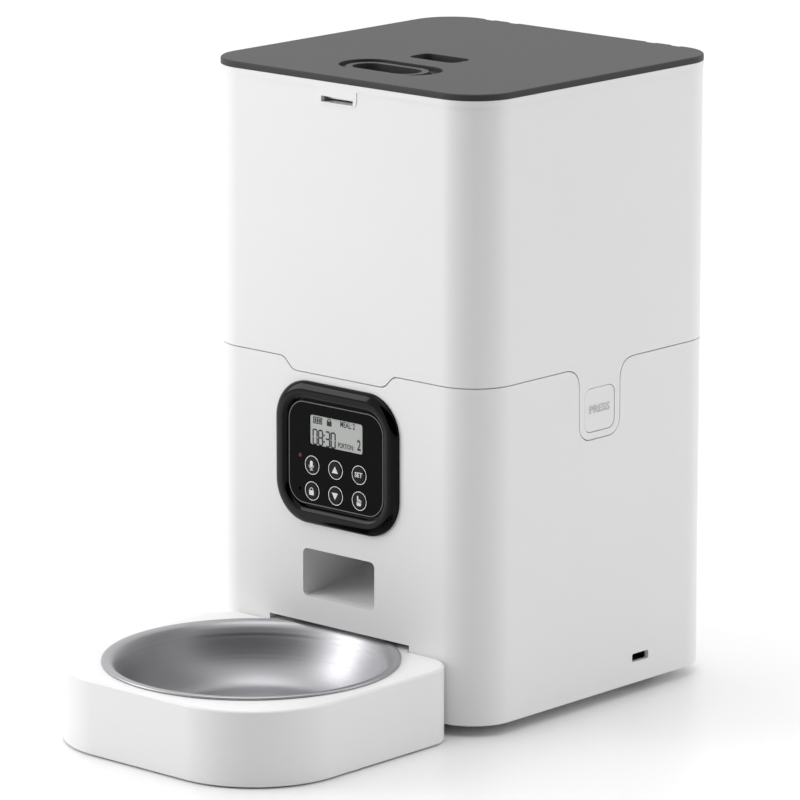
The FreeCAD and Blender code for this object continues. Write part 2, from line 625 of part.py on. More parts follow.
def feed_deck():
    """Level deck with the round rotor well and the mounting columns."""
    deck = slab(INNER - FIT, INNER - FIT, INNER_CORNER - FIT / 2, DECK_Z, WELL_TOP)
    well = rod(WELL_R + WALL, WELL_FLOOR, WELL_TOP, 0, ROTOR_Y)
    boss = rod(10, WELL_FLOOR - 8, WELL_FLOOR + 1, 0, ROTOR_Y)
    columns = [rod(4, CASE_TOP + 2, DECK_Z + 1 if y > 20 else WELL_FLOOR + 1, sx * EAR_X, y)
               for sx in (-1, 1) for y in EAR_Y]
    deck = joined(deck, [well, boss] + columns)
    cuts = [rod(WELL_R, WELL_FLOOR + WALL, WELL_TOP + 1, 0, ROTOR_Y)]
    cuts.append(rod(7, WELL_FLOOR - 9, WELL_FLOOR + WALL + 1, 0, ROTOR_Y))
    cuts.append(box(-DROP_W / 2, DROP_W / 2, DROP_FRONT, DROP_BACK, WELL_FLOOR - 9, WELL_FLOOR + 5))
    room = PANEL_W / 2 + PANEL_ROOM
    cuts.append(box(-room, room, -HALF, BOARD_Y + 6, DECK_Z - 1, WELL_TOP + 1))
    cuts += [rod(1.5, CASE_TOP, CASE_TOP + 14, sx * EAR_X, y) for sx in (-1, 1) for y in EAR_Y]
    cuts += [rod(1.7, DECK_Z - 1, WELL_TOP + 1, sx * 76, sy * 76) for sx in (-1, 1) for sy in (-1, 1)]
    put("feed_deck", deck.cut(cuts))


def drop_baffle():
    """Fixed cover over the drop opening, so that food only arrives in the rotor's bays."""
    reach = 60.0
    wedge = Part.makePolygon([V(0, ROTOR_Y, WELL_TOP - 3.5), V(-reach, ROTOR_Y - reach, WELL_TOP - 3.5),
                              V(reach, ROTOR_Y - reach, WELL_TOP - 3.5), V(0, ROTOR_Y, WELL_TOP - 3.5)])
    sector = Part.Face(wedge).extrude(V(0, 0, 2))
    put("drop_baffle", sector.common(rod(WELL_R - RUN, 0, 200, 0, ROTOR_Y)).cut(rod(12, 0, 200, 0, ROTOR_Y)))


def outlet_chute():
    """Curved slide from the drop opening to the front outlet."""
    def side_face(grow):
        top = WELL_FLOOR
        start = V(0, DROP_BACK + grow, top)
        middle = V(0, -40 + 0.7 * grow, OUTLET_Z + 14 - 0.75 * grow)
        lip = V(0, -HALF + WALL, OUTLET_Z - grow)
        slide = Part.Arc(start, middle, lip).toShape()
        front = Part.makeLine(lip, V(0, -HALF + WALL, OUTLET_Z + OUTLET_H + grow))
        roof = Part.makeLine(front.Vertexes[-1].Point, V(0, DROP_FRONT - grow, top))
        close = Part.makeLine(roof.Vertexes[-1].Point, start)
        return Part.Face(Part.Wire([slide, front, roof, close]))
    outer = side_face(CHUTE_WALL).extrude(V(OUTLET_W + 2 * CHUTE_WALL, 0, 0))
    outer.translate(V(-OUTLET_W / 2 - CHUTE_WALL, 0, 0))
    inner = side_face(0.0).extrude(V(OUTLET_W, 0, 0))
    inner.translate(V(-OUTLET_W / 2, 0, 0))
    put("outlet_chute", outer.cut(inner))
    eye_x = OUTLET_W / 2 + CHUTE_WALL
    put("outlet_sensors", Part.makeCompound(both_sides(box(eye_x, eye_x + 5, -80, -70, 58, 66))))


def rotor():
    """Vaned feed wheel on its steel shaft, with the bush that carries it."""
    low = WELL_FLOOR + WALL + 0.6
    top = WELL_TOP - 4.4
    wheel = rod(HUB_R, low, top, 0, 0)
    vanes = []
    for number in range(VANES):
        vane = box(0, ROTOR_R, -VANE_T / 2, VANE_T / 2, low, top)
        vane.rotate(V(0, 0, 0), V(0, 0, 1), (number + 0.5) * 360 / VANES)
        vanes.append(vane)
    wheel = joined(wheel, vanes)
    wheel.translate(V(0, ROTOR_Y, 0))
    put("feed_rotor", wheel.cut(rod(SHAFT_R + 0.02, low - 1, top - 3, 0, ROTOR_Y)))
    put("rotor_shaft", rod(SHAFT_R, CASE_LOW + 0.5, top - 3.5, 0, ROTOR_Y))
    upper = rod(7, WELL_FLOOR - 8, WELL_FLOOR + WALL, 0, ROTOR_Y)
    lower = rod(6.5, CASE_LOW, CASE_LOW + 3.5, 0, ROTOR_Y)
    bushes = [piece.cut(rod(SHAFT_R + RUN, 0, 200, 0, ROTOR_Y)) for piece in (upper, lower)]
    put("shaft_bushes", Part.makeCompound(bushes))


def gear(teeth, z0, z1, bore, y, tooth_at):
    """Involute spur gear with one tooth centred at the given angle in degrees."""
    pitch = MODULE * teeth / 2
    base = pitch * math.cos(PRESSURE)
    tip = pitch + MODULE
    root = pitch - 1.25 * MODULE
    half = math.pi / (2 * teeth) - BACKLASH / (2 * pitch)

    def roll(radius):
        angle = math.acos(min(1.0, base / radius))
        return math.tan(angle) - angle

    start = max(base, root)
    steps = 4
    flank = []
    for k in range(steps + 1):
        radius = start + (tip - start) * k / steps
        flank.append((radius, half + roll(pitch) - roll(radius)))
    if root < start:
        flank.insert(0, (root, flank[0][1]))
    points = []
    for number in range(teeth):
        centre = math.radians(tooth_at) + number * 2 * math.pi / teeth
        side = [(r, centre - a) for r, a in flank] + [(r, centre + a) for r, a in reversed(flank)]
        points += [V(r * math.cos(a), y + r * math.sin(a), z0) for r, a in side]
    body = Part.Face(Part.makePolygon(points + points[:1])).extrude(V(0, 0, z1 - z0))
    return body.cut(rod(bore, z0 - 1, z1 + 1, 0, y))


def gear_train():
    """Motor pinion, compound idler and output gear, in mesh at rest."""
    pinion_gap = -90 + 180 / PINION_TEETH
    put("output_gear", gear(OUTPUT_TEETH, GEARS_HIGH, GEARS_HIGH + GEAR_LONG, SHAFT_R + 0.02, ROTOR_Y, 90))
    bore = IDLER_PIN_R + RUN
    small = gear(PINION_TEETH, GEARS_LOW + GEAR_LONG, GEARS_HIGH + GEAR_LONG, bore, IDLER_Y, pinion_gap)
    large = gear(IDLER_TEETH, GEARS_LOW, GEARS_LOW + GEAR_LONG, bore, IDLER_Y, 90)
    put("idler_gear", joined(large, [small]))
    put("idler_pin", rod(IDLER_PIN_R, CASE_LOW + 0.5, CASE_TOP + 2, 0, IDLER_Y))
    put("motor_pinion", gear(PINION_TEETH, GEARS_LOW, GEARS_LOW + GEAR_LONG, MOTOR_SHAFT_R + 0.02, MOTOR_Y,
                             pinion_gap))
    put("motor_shaft", rod(MOTOR_SHAFT_R, MOTOR_LOW + 6, GEARS_LOW + GEAR_LONG, 0, MOTOR_Y))


def gearbox():
    """Gear case with its cover, its screws and the motor under it."""
    back = MOTOR_Y + 12
    front = ROTOR_Y - 28
    middle = (back + front) / 2
    case = slab(CASE_W, back - front, 10, CASE_LOW, CASE_TOP, 0, middle)
    ears = [slab(16, 11, 5, CASE_TOP - 4, CASE_TOP, sx * (EAR_X - 3), y) for sx in (-1, 1) for y in EAR_Y]
    case = joined(case, ears)
    cuts = [slab(CASE_W - 4, back - front - 4, 8, CASE_LOW + 2, CASE_TOP + 1, 0, middle)]
    cuts.append(rod(IDLER_PIN_R + 0.01, CASE_LOW + 0.5, CASE_TOP, 0, IDLER_Y))
    cuts.append(rod(5, CASE_LOW - 1, CASE_TOP, 0, MOTOR_Y))
    cuts.append(rod(6.5, CASE_LOW - 1, CASE_TOP, 0, ROTOR_Y))
    cuts += [rod(1.7, CASE_TOP - 6, CASE_TOP + 1, sx * EAR_X, y) for sx in (-1, 1) for y in EAR_Y]
    bearing = rod(9, CASE_LOW, CASE_LOW + 2, 0, ROTOR_Y).cut(rod(6.5, 0, 99, 0, ROTOR_Y))
    put("gearbox_case", case.cut(cuts).fuse(bearing))
    cover = slab(CASE_W, back - front, 10, CASE_TOP, CASE_TOP + 2, 0, middle)
    cover_ears = [slab(16, 11, 5, CASE_TOP, CASE_TOP + 2, sx * (EAR_X - 3), y)
                  for sx in (-1, 1) for y in EAR_Y]
    cover = joined(cover, cover_ears)
    cuts = [rod(SHAFT_R + 0.4, 0, 200, 0, ROTOR_Y), rod(IDLER_PIN_R + 0.01, 0, 200, 0, IDLER_Y)]
    cuts += [rod(1.7, 0, 200, sx * EAR_X, y) for sx in (-1, 1) for y in EAR_Y]
    put("gearbox_cover", cover.cut(cuts))
    can = rod(MOTOR_R, MOTOR_LOW, CASE_LOW, 0, MOTOR_Y)
    nose = rod(4.9, CASE_LOW, CASE_LOW + 1.5, 0, MOTOR_Y)
    terminals = [box(x - 1, x + 1, MOTOR_Y - 0.4, MOTOR_Y + 0.4, MOTOR_LOW - 3, MOTOR_LOW)
                 for x in (-8, 8)]
    motor = joined(can, [nose] + terminals)
    put("gear_motor", motor.cut(rod(MOTOR_SHAFT_R + RUN, MOTOR_LOW + 5.5, 99, 0, MOTOR_Y)))


# ---------------------------------------------------------------- control panel
def panel():
    """Glossy bezel, its face plate, the display and the parts on the board behind."""
    outer = outline(PANEL_W, PANEL_H, PANEL_CORNER, 0)
    crest = outline(PANEL_W - PANEL_DRAFT, PANEL_H - PANEL_DRAFT, PANEL_CORNER - PANEL_DRAFT / 2, PANEL_PROUD)
    bezel = to_front(Part.makeLoft([outer, crest], True, True), -HALF, PANEL_Z)
    plug = front_slab(PANEL_W - 5.6, PANEL_H - 5.6, PANEL_CORNER - 2.8, -HALF, PANEL_BACK, PANEL_Z)
    bezel = joined(bezel, [plug])
    slope = 4.4
    low = outline(FACE_W + FIT, FACE_H + FIT, FACE_CORNER, 0)
    high = outline(FACE_W + slope, FACE_H + slope, FACE_CORNER + slope / 2, FACE_SUNK + 0.01)
    cuts = [to_front(Part.makeLoft([low, high], True, True), FACE_FRONT, PANEL_Z)]
    cuts.append(front_slab(FACE_W + FIT, FACE_H + FIT, FACE_CORNER, FACE_FRONT - 0.1, FACE_FRONT + FACE_T,
                           PANEL_Z))
    cuts.append(front_slab(FACE_W - 4, FACE_H - 4, FACE_CORNER - 2, -HALF - 5, PANEL_BACK + 1, PANEL_Z))
    studs = [rod_y(2.6, PANEL_BACK - 1, BOARD_Y, sx * 32, PANEL_Z + sz * 26) for sx in (-1, 1)
             for sz in (-1, 1)]
    bezel = bezel.cut(cuts)
    bezel = joined(bezel, studs)
    holes = [rod_y(1.0, PANEL_BACK + 0.5, BOARD_Y + 1, sx * 32, PANEL_Z + sz * 26) for sx in (-1, 1)
             for sz in (-1, 1)]
    put("panel_bezel", bezel.cut(holes))
    face = front_slab(FACE_W, FACE_H, FACE_CORNER - 0.1, FACE_FRONT, FACE_FRONT + FACE_T, PANEL_Z)
    cuts = [front_slab(LCD_W, LCD_H, 1.5, FACE_FRONT - 1, FACE_FRONT + 4, LCD_Z)]
    cuts += [rod_y(BUTTON_R + 0.2, FACE_FRONT - 1, FACE_FRONT + 4, x, z) for x in BUTTON_X for z in BUTTON_Z]
    cuts.append(rod_y(1.1, FACE_FRONT - 1, FACE_FRONT + 4, LED_X, LED_Z))
    cuts.append(rod_y(0.8, FACE_FRONT - 1, FACE_FRONT + 4, LED_X, BUTTON_Z[1]))
    put("panel_face", face.cut(cuts))
    back = FACE_FRONT + FACE_T
    lcd = front_slab(LCD_W + 4, LCD_H + 4, 1.0, back + 0.02, back + 3, LCD_Z)
    glass = front_slab(LCD_W - 0.4, LCD_H - 0.4, 1.3, FACE_FRONT + 0.5, back + 0.5, LCD_Z)
    pins = [box(x - 1, x + 1, back + 2, BOARD_Y, LCD_Z + 5, LCD_Z + 7) for x in (-14, 14)]
    put("lcd_module", joined(lcd, [glass] + pins))
    board = front_slab(BOARD_W, BOARD_H, 3, BOARD_Y, BOARD_Y + BOARD_T, PANEL_Z)
    holes = [rod_y(1.2, BOARD_Y - 1, BOARD_Y + 3, sx * 32, PANEL_Z + sz * 26) for sx in (-1, 1)
             for sz in (-1, 1)]
    chip = box(-6, 6, BOARD_Y + BOARD_T, BOARD_Y + BOARD_T + 1.5, PANEL_Z - 6, PANEL_Z + 6)
    put("control_board", joined(board.cut(holes), [chip]))
    screws = []
    for sx in (-1, 1):
        for sz in (-1, 1):
            z = PANEL_Z + sz * 26
            shank = rod_y(0.98, PANEL_BACK + 1, BOARD_Y + BOARD_T, sx * 32, z)
            screws.append(shank.fuse(rod_y(2.0, BOARD_Y + BOARD_T, BOARD_Y + BOARD_T + 1.3, sx * 32, z)))
    put("board_screws", Part.makeCompound(screws))
    switch_front = BOARD_Y - 2.2
    switches = [box(x - 3, x + 3, switch_front, BOARD_Y, z - 3, z + 3) for x in BUTTON_X for z in BUTTON_Z]
    put("tact_switches", Part.makeCompound(switches))
    put("status_led", rod_y(1.05, FACE_FRONT + 0.1, BOARD_Y, LED_X, LED_Z))
    put("microphone", rod_y(2.4, BOARD_Y - 2.5, BOARD_Y, LED_X, BUTTON_Z[1]))
    stem_end = switch_front - BUTTON_TRAVEL - 0.1
    for row, z in enumerate(BUTTON_Z):
        for column, x in enumerate(BUTTON_X):
            cap = rod_y(BUTTON_R, FACE_FRONT - 0.7, back + 1.4, x, z)
            cap = soften(cap, 0.3, lambda e: e.BoundBox.YMax < FACE_FRONT - 0.6)
            skirt = rod_y(BUTTON_R + 0.9, back + 0.1, back + 1.3, x, z)
            stem = rod_y(1.6, back + 1, stem_end, x, z)
            put("button_" + BUTTON_NAMES[row][column], joined(cap, [skirt, stem]))


# ---------------------------------------------------------------- power and sound
def power():
    """Battery bay with cells, contacts and cover, the power socket and the speaker."""
    half_l = CELL_LONG / 2 + 2
    half_w = CELLS * CELL_R + 1.5
    bay_low = FOOT + 2.5
    bay_top = CELL_Z + CELL_R + 3
    bay = box(CELL_X - half_l - 2, CELL_X + half_l + 2, CELL_Y - half_w - 2, CELL_Y + half_w + 2, bay_low,
              bay_top)
    bay = bay.cut(box(CELL_X - half_l, CELL_X + half_l, CELL_Y - half_w, CELL_Y + half_w, 0, bay_top - 2))
    put("battery_bay", bay)
    cells = []
    contacts = []
    for number in range(CELLS):
        y = CELL_Y + (number - (CELLS - 1) / 2) * 2 * (CELL_R + 0.2)
        can = rod_x(CELL_R, CELL_X - CELL_LONG / 2, CELL_X + CELL_LONG / 2 - 1.5, y, CELL_Z)
        nub = rod_x(3, CELL_X + CELL_LONG / 2 - 1.5, CELL_X + CELL_LONG / 2, y, CELL_Z)
        cells.append(can.fuse(nub))
        for end in (-1, 1):
            x0 = CELL_X + end * (CELL_LONG / 2 + 1)
            contacts.append(box(x0 - 1, x0 + 1, y - 5, y + 5, CELL_Z - 5, CELL_Z + 5))
    put("battery_cells", Part.makeCompound(cells))
    put("battery_contacts", Part.makeCompound(contacts))
    door = box(CELL_X - half_l + FIT, CELL_X + half_l - FIT, CELL_Y - 41 + FIT, CELL_Y + 41 - FIT, FOOT,
               FOOT + 2.3)
    lands = [box(CELL_X - 2, CELL_X + 2, y - 3, y + 3, FOOT + 2, CELL_Z - CELL_R - 0.2)
             for y in (CELL_Y - 2 * CELL_R, CELL_Y, CELL_Y + 2 * CELL_R)]
    put("battery_door", joined(door, lands))
    depth = 14.0
    socket = side_slab(SOCKET_W + 5, SOCKET_H + 5, 2.0, HALF - WALL - depth, HALF - WALL, SOCKET_Y,
                       SOCKET_Z + SOCKET_H / 2)
    hole = side_slab(SOCKET_W - 1, SOCKET_H, 0.8, HALF - WALL - depth + 3, HALF, SOCKET_Y,
                     SOCKET_Z + SOCKET_H / 2)
    put("power_socket", socket.cut(hole))
    basket = rod_x(16.2, -HALF + WALL, -HALF + WALL + 4, 40, 60)
    magnet = rod_x(9, -HALF + WALL + 4, -HALF + WALL + 9, 40, 60)
    put("speaker", joined(basket, [magnet]))


# ---------------------------------------------------------------- tray and bowl
def tray():
    """Tray that docks into the base, with its bottom plate, pads and steel bowl."""
    gap = 0.5
    rear = -HALF - gap
    length = rear - TRAY_FRONT
    body = slab(TRAY_W, length + 60, TRAY_CORNER, TRAY_LOW, TRAY_TOP, 0, TRAY_FRONT + (length + 60) / 2)
    body = body.common(box(-TRAY_W, TRAY_W, TRAY_FRONT - 1, rear, TRAY_LOW, TRAY_TOP))
    body = soften(body, TRAY_REAR_CORNER, lambda e: upright(e) and e.BoundBox.YMin > rear - 0.1)
    tongue_w = NOTCH_W - 2 * gap
    tongue_back = -HALF + DOCK_DEEP - 1.5
    tongue = box(-tongue_w / 2, tongue_w / 2, rear - 1, tongue_back, TRAY_LOW, TRAY_TOP)
    body = soften(joined(body, [tongue]), 1.6,
                  lambda e: e.BoundBox.ZMin > TRAY_TOP - 0.01 and e.BoundBox.YMax < rear - 0.2)
    inner_w = TRAY_W - 2 * TRAY_WALL
    hollow = slab(inner_w, length + 60, TRAY_CORNER - TRAY_WALL, TRAY_LOW - 1, TRAY_TOP - TRAY_WALL, 0,
                  TRAY_FRONT + TRAY_WALL + (length + 60) / 2)
    hollow = hollow.common(box(-TRAY_W, TRAY_W, TRAY_FRONT, rear - TRAY_WALL, TRAY_LOW - 1, TRAY_TOP))
    hollow = soften(hollow, TRAY_REAR_CORNER - TRAY_WALL,
                    lambda e: upright(e) and e.BoundBox.YMin > rear - TRAY_WALL - 0.1)
    hollow = hollow.fuse(box(-tongue_w / 2 + 2.5, tongue_w / 2 - 2.5, rear - 5, tongue_back - 2.5,
                             TRAY_LOW - 1, TRAY_TOP - TRAY_WALL))
    well_r = BOWL_R - 5.0 + WELL_GAP
    well = rod(well_r + 2, TRAY_LOW + 2, TRAY_TOP, 0, BOWL_Y).cut(rod(well_r, TRAY_LOW, 60, 0, BOWL_Y))
    shell = body.cut(hollow).cut(rod(well_r, TRAY_LOW - 1, 60, 0, BOWL_Y))
    put("bowl_tray", joined(shell, [well]))
    floor = slab(inner_w - 2 * FIT, length + 60, TRAY_CORNER - TRAY_WALL, TRAY_LOW, TRAY_LOW + 2, 0,
                 TRAY_FRONT + TRAY_WALL + FIT + (length + 60) / 2)
    floor = floor.common(box(-TRAY_W, TRAY_W, TRAY_FRONT, rear - TRAY_WALL - FIT, TRAY_LOW, TRAY_TOP))
    floor = soften(floor, TRAY_REAR_CORNER - TRAY_WALL,
                   lambda e: upright(e) and e.BoundBox.YMin > rear - TRAY_WALL - FIT - 0.1)
    pads = [rod(6, -STAND, TRAY_LOW, sx * 46, y) for sx in (-1, 1) for y in (-216, -112)]
    put("tray_floor", floor)
    put("tray_pads", Part.makeCompound(pads))
    rim_z = TRAY_TOP
    wall_top = BOWL_R - 5.5
    lip = 0.9
    wall_low = BOWL_R - 13
    bend = BOWL_R - 19
    profile = [(0, BOWL_FLOOR), (bend - 4, BOWL_FLOOR), (bend, BOWL_FLOOR + 3), (wall_low, rim_z - 14),
               (wall_top, rim_z),
               (BOWL_R, rim_z), (BOWL_R, rim_z + lip + 0.6), (BOWL_R - 1, rim_z + lip + 0.9),
               (wall_top + 0.6, rim_z + lip), (wall_low - BOWL_T, rim_z - 13.4),
               (bend - BOWL_T, BOWL_FLOOR + 3.8),
               (bend - 4.4, BOWL_FLOOR + BOWL_T), (0, BOWL_FLOOR + BOWL_T)]
    wire = Part.makePolygon([V(r, BOWL_Y, z) for r, z in profile + profile[:1]])
    put("steel_bowl", Part.Face(wire).revolve(V(0, BOWL_Y, 0), V(0, 0, 1), 360))


os.makedirs("parts", exist_ok=True)
base_housing()
hopper_shell()
hopper_funnel()
hinge_pins()
press_latch(1, "right")
press_latch(-1, "left")
lid_cover()
lid_liner()
lid_seal()
lid_screws()
latch()
desiccant()
base_plate()
housing_screws()
feed_deck()
drop_baffle()
outlet_chute()
rotor()
gear_train()
gearbox()
panel()
power()
tray()
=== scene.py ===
import json
import math

import bmesh
import bpy
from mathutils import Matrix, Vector


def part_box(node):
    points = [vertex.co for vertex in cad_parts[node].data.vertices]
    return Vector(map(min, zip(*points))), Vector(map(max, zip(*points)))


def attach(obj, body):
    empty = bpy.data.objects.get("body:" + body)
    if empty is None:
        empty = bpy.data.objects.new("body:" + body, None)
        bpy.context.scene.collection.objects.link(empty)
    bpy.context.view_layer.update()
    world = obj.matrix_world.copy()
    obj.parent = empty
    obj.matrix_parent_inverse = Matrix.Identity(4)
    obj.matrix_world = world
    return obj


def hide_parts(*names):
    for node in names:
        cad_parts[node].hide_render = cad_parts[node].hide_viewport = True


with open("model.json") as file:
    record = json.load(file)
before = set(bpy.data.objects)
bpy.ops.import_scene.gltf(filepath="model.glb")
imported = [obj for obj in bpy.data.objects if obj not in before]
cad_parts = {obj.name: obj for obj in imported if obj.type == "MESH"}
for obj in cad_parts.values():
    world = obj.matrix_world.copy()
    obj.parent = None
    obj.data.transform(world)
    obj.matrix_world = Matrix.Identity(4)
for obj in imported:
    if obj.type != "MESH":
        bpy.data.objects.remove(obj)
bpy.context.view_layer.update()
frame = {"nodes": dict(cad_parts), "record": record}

bl_info = {
    "name": "Pet feeder builder",
    "version": (1, 0, 0),
    "blender": (4, 5, 0),
    "location": "3D View > Sidebar > Feeder",
    "description": "Dresses the packed pet feeder with finished shells, panel, bowl and materials",
    "category": "Object",
}

MM = 0.001
BODY_LOW, BODY_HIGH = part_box("base_housing")
FACE_LOW, FACE_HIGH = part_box("panel_face")
BEZEL_LOW, BEZEL_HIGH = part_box("panel_bezel")
LCD_LOW, LCD_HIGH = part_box("lcd_module")
BOWL_LOW, BOWL_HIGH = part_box("steel_bowl")
TOP_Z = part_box("lid_cover")[1].z
BODY_MIDDLE_Y = (BODY_LOW.y + BODY_HIGH.y) / 2
BOWL_MIDDLE = (BOWL_LOW + BOWL_HIGH) / 2


# ---------------------------------------------------------------- small tools
def linear(code):
    """Linear colour of an sRGB hex code such as E8E8E6."""
    parts = [int(code[k:k + 2], 16) / 255 for k in (0, 2, 4)]
    low = [c / 12.92 if c <= 0.04045 else ((c + 0.055) / 1.055) ** 2.4 for c in parts]
    return (*low, 1.0)


def add(tree, kind, inputs=None, **settings):
    """Adds a shader node, sets its settings, and links or sets each input named."""
    made = tree.nodes.new(kind)
    for key, value in settings.items():
        setattr(made, key, value)
    for key, value in (inputs or {}).items():
        if isinstance(value, bpy.types.NodeSocket):
            tree.links.new(value, made.inputs[key])
        else:
            made.inputs[key].default_value = value
    return made


def deselect():
    """Leaves nothing selected and nothing in edit mode."""
    if bpy.context.object and bpy.context.object.mode != "OBJECT":
        bpy.ops.object.mode_set(mode="OBJECT")
    bpy.ops.object.select_all(action="DESELECT")


def grab(piece):
    """Makes one piece the only selected and active one."""
    deselect()
    piece.select_set(True)
    bpy.context.view_layer.objects.active = piece


def settle(piece):
    """Puts the piece's place into its mesh, so that its object sits at the origin."""
    grab(piece)
    bpy.ops.object.transform_apply(location=True, rotation=True, scale=True)


def hand_over(piece, name, body, material, angle=30.0):
    """Names a finished piece, shades it, gives it its material and rides it on its body."""
    settle(piece)
    bpy.ops.object.mode_set(mode="EDIT")
    bpy.ops.mesh.select_all(action="SELECT")
    bpy.ops.mesh.normals_make_consistent(inside=False)
    bpy.ops.object.mode_set(mode="OBJECT")
    bpy.ops.object.shade_smooth_by_angle(angle=math.radians(angle))
    piece.name = name
    piece.data.name = name
    piece.data.materials.clear()
    piece.data.materials.append(material)
    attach(piece, body)
    return piece


def even_out(piece):
    """Lets the large flat faces set the shading of the rounded edges beside them."""
    grab(piece)
    weights = piece.modifiers.new("weights", "WEIGHTED_NORMAL")
    weights.keep_sharp = True
    bpy.ops.object.modifier_apply(modifier="weights")


def join(pieces):
    """Joins pieces into the first one."""
    deselect()
    for piece in pieces:
        piece.select_set(True)
    bpy.context.view_layer.objects.active = pieces[0]
    bpy.ops.object.join()
    return pieces[0]


def rounded_plate(width, height, corner, steps=10):
    """A level face at the origin with rounded corners, left in edit mode and selected."""
    deselect()
    bpy.ops.mesh.primitive_plane_add(size=1.0)
    piece = bpy.context.object
    bpy.ops.transform.resize(value=(width, height, 1))
    bpy.ops.object.transform_apply(location=False, rotation=False, scale=True)
    bpy.ops.object.mode_set(mode="EDIT")
    bpy.ops.mesh.select_all(action="SELECT")
    bpy.ops.mesh.bevel(affect="VERTICES", offset=corner, segments=steps)
    bpy.ops.mesh.select_all(action="SELECT")
    return piece


def raise_profile(steps):
    """From the selected face, insets by each first number and lifts by each second."""
    for inward, lift in steps:
        if inward == 0:
            bpy.ops.mesh.extrude_region_move(TRANSFORM_OT_translate={"value": (0, 0, lift)})
        else:
            bpy.ops.mesh.inset(thickness=inward, depth=lift, use_even_offset=True)


def stand_up(piece, x, y, z):
    """Turns a level piece to face the front and puts its origin at a place."""
    deselect()
    piece.rotation_euler = (math.radians(90), 0, 0)
    piece.location = (x, y, z)
    settle(piece)
    return piece


# ---------------------------------------------------------------- materials
def plastic(name, colour, roughness, grain_mm, depth, vary=0.02, coat=0.0, specular=0.5):
    """Moulded plastic: a fine mould grain, slightly uneven gloss and barely uneven colour."""
    material = bpy.data.materials.new(name)
    material.use_nodes = True
    tree = material.node_tree
    shader = tree.nodes["Principled BSDF"]
    coord = add(tree, "ShaderNodeTexCoord").outputs["Object"]
    grain = add(tree, "ShaderNodeTexNoise", {"Vector": coord, "Scale": 1 / (grain_mm * MM), "Detail": 4.0})
    cloud = add(tree, "ShaderNodeTexNoise", {"Vector": coord, "Scale": 14.0, "Detail": 2.0})
    base = linear(colour)
    dark = [c * (1 - vary * 2) for c in base[:3]] + [1.0]
    light = [min(1.0, c * (1 + vary)) for c in base[:3]] + [1.0]
    tone = add(tree, "ShaderNodeMix", {0: cloud.outputs["Fac"], 6: dark, 7: light}, data_type="RGBA")
    gloss = add(tree, "ShaderNodeMapRange", {"Value": grain.outputs["Fac"], "To Min": roughness * 0.88,
                                             "To Max": min(1.0, roughness * 1.12)})
    bump = add(tree, "ShaderNodeBump", {"Height": grain.outputs["Fac"], "Strength": depth,
                                        "Distance": 0.05 * MM})
    tree.links.new(tone.outputs[2], shader.inputs["Base Color"])
    tree.links.new(gloss.outputs["Result"], shader.inputs["Roughness"])
    tree.links.new(bump.outputs["Normal"], shader.inputs["Normal"])
    shader.inputs["IOR"].default_value = 1.5
    shader.inputs["Specular IOR Level"].default_value = specular
    shader.inputs["Coat Weight"].default_value = coat
    shader.inputs["Coat Roughness"].default_value = 0.04
    return material


def metal(name, colour, roughness, line_mm, depth, centre=None):
    """Bare metal with fine lines: rings about an upright axis when a centre is given."""
    material = bpy.data.materials.new(name)
    material.use_nodes = True
    tree = material.node_tree
    shader = tree.nodes["Principled BSDF"]
    coord = add(tree, "ShaderNodeTexCoord").outputs["Object"]
    if centre is None:
        lines = add(tree, "ShaderNodeTexNoise", {"Vector": coord, "Scale": 1 / (line_mm * MM),
                                                 "Detail": 3.0})
    else:
        moved = add(tree, "ShaderNodeMapping", {"Vector": coord, "Location": (-centre[0], -centre[1], 0.0)})
        flat = add(tree, "ShaderNodeVectorMath", {0: moved.outputs["Vector"], 1: (1.0, 1.0, 0.0)},
                   operation="MULTIPLY")
        radius = add(tree, "ShaderNodeVectorMath", {0: flat.outputs["Vector"]}, operation="LENGTH")
        lines = add(tree, "ShaderNodeTexNoise", {"W": radius.outputs["Value"], "Scale": 1 / (line_mm * MM),
                                                 "Detail": 3.0}, noise_dimensions="1D")
    base = linear(colour)
    dark = [c * 0.86 for c in base[:3]] + [1.0]
    light = [min(1.0, c * 1.08) for c in base[:3]] + [1.0]
    tone = add(tree, "ShaderNodeMix", {0: lines.outputs["Fac"], 6: dark, 7: light}, data_type="RGBA")
    gloss = add(tree, "ShaderNodeMapRange", {"Value": lines.outputs["Fac"], "To Min": roughness * 0.75,
                                             "To Max": roughness * 1.3})
    bump = add(tree, "ShaderNodeBump", {"Height": lines.outputs["Fac"], "Strength": depth,
                                        "Distance": 0.05 * MM})
    tree.links.new(tone.outputs[2], shader.inputs["Base Color"])
    tree.links.new(gloss.outputs["Result"], shader.inputs["Roughness"])
    tree.links.new(bump.outputs["Normal"], shader.inputs["Normal"])
    shader.inputs["Metallic"].default_value = 1.0
    return material


